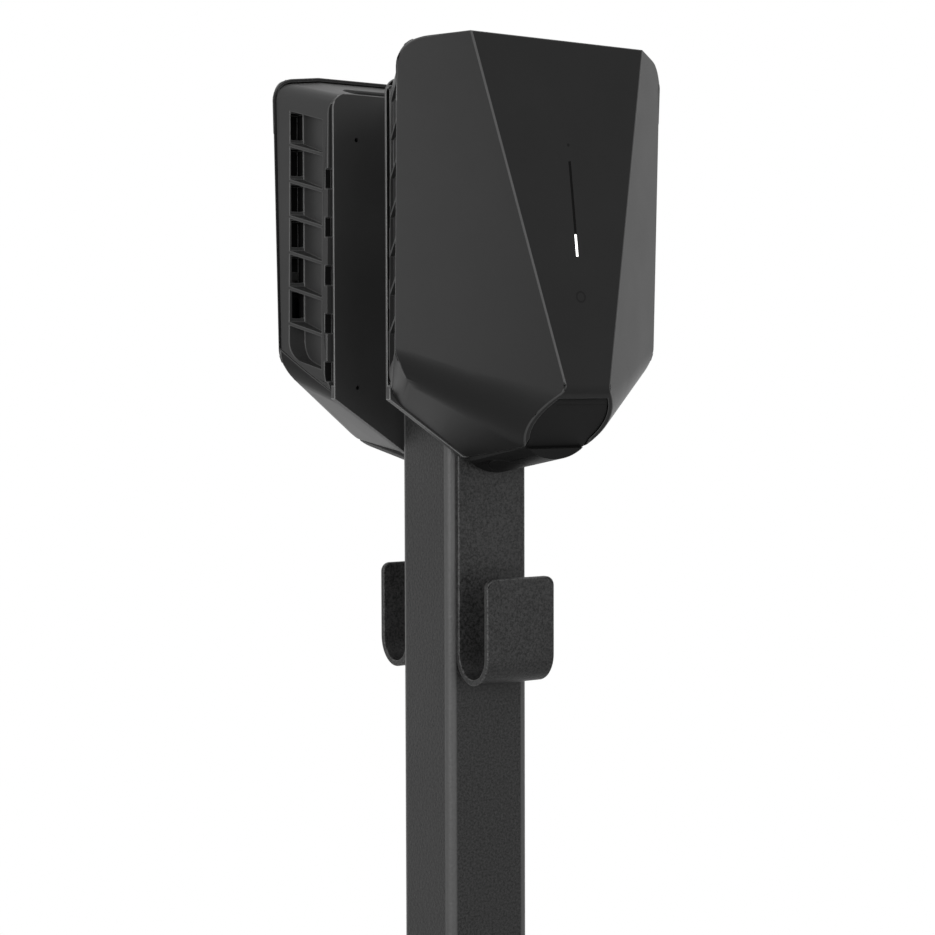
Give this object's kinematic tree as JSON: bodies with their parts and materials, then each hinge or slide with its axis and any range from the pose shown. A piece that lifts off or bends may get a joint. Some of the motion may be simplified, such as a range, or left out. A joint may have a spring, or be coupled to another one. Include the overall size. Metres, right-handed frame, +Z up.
{
  "type": "ev charger stand",
  "caption": "Square column on a foot plate with two faceted wall-box chargers mounted back to back, each over a J-shaped cable hook.",
  "frame": {"origin": "ground level, centre of the foot plate and the column", "axes": "+Z up, -Y towards the front charger's face, +X to its right as seen from the front"},
  "size_m": [0.2, 0.2802, 1.4],
  "materials": {
    "powder_coat": "matt powder coat",
    "cover_plastic": "satin",
    "housing_plastic": "satin",
    "cap_plastic": "matt",
    "screw_steel": "zinc plated",
    "board": "satin",
    "relay_case": "satin",
    "terminal_plastic": "matt",
    "socket_plastic": "matt",
    "contact_metal": "polished",
    "seal_rubber": "matt",
    "light_plastic": "gloss"
  },
  "bodies": {
    "root": {"column": "powder_coat", "base_plate": "powder_coat", "column_cap": "cap_plastic", "front_hook_plate": "powder_coat", "front_hook_plate_screws": "screw_steel", "front_back_plate": "housing_plastic", "front_back_plate_screws": "screw_steel", "front_chassis": "housing_plastic", "front_chassis_screws": "screw_steel", "front_nose": "housing_plastic", "front_nose_screws": "screw_steel", "front_socket_cap": "housing_plastic", "front_entry_plug": "cap_plastic", "front_circuit_board": "board", "front_board_screws": "screw_steel", "front_relays": "relay_case", "front_terminal_block": "terminal_plastic", "front_socket_block": "socket_plastic", "front_socket_contacts": "contact_metal", "front_lock_actuator": "socket_plastic", "front_lock_pin": "screw_steel", "front_lid_seal": "seal_rubber", "front_inner_lid": "cap_plastic", "front_lid_screws": "screw_steel", "front_light_guide": "light_plastic", "front_cover": "cover_plastic", "rear_hook_plate": "powder_coat", "rear_hook_plate_screws": "screw_steel", "rear_back_plate": "housing_plastic", "rear_back_plate_screws": "screw_steel", "rear_chassis": "housing_plastic", "rear_chassis_screws": "screw_steel", "rear_nose": "housing_plastic", "rear_nose_screws": "screw_steel", "rear_socket_cap": "housing_plastic", "rear_entry_plug": "cap_plastic", "rear_circuit_board": "board", "rear_board_screws": "screw_steel", "rear_relays": "relay_case", "rear_terminal_block": "terminal_plastic", "rear_socket_block": "socket_plastic", "rear_socket_contacts": "contact_metal", "rear_lock_actuator": "socket_plastic", "rear_lock_pin": "screw_steel", "rear_lid_seal": "seal_rubber", "rear_inner_lid": "cap_plastic", "rear_lid_screws": "screw_steel", "rear_light_guide": "light_plastic", "rear_cover": "cover_plastic"}
  },
  "joints": []
}
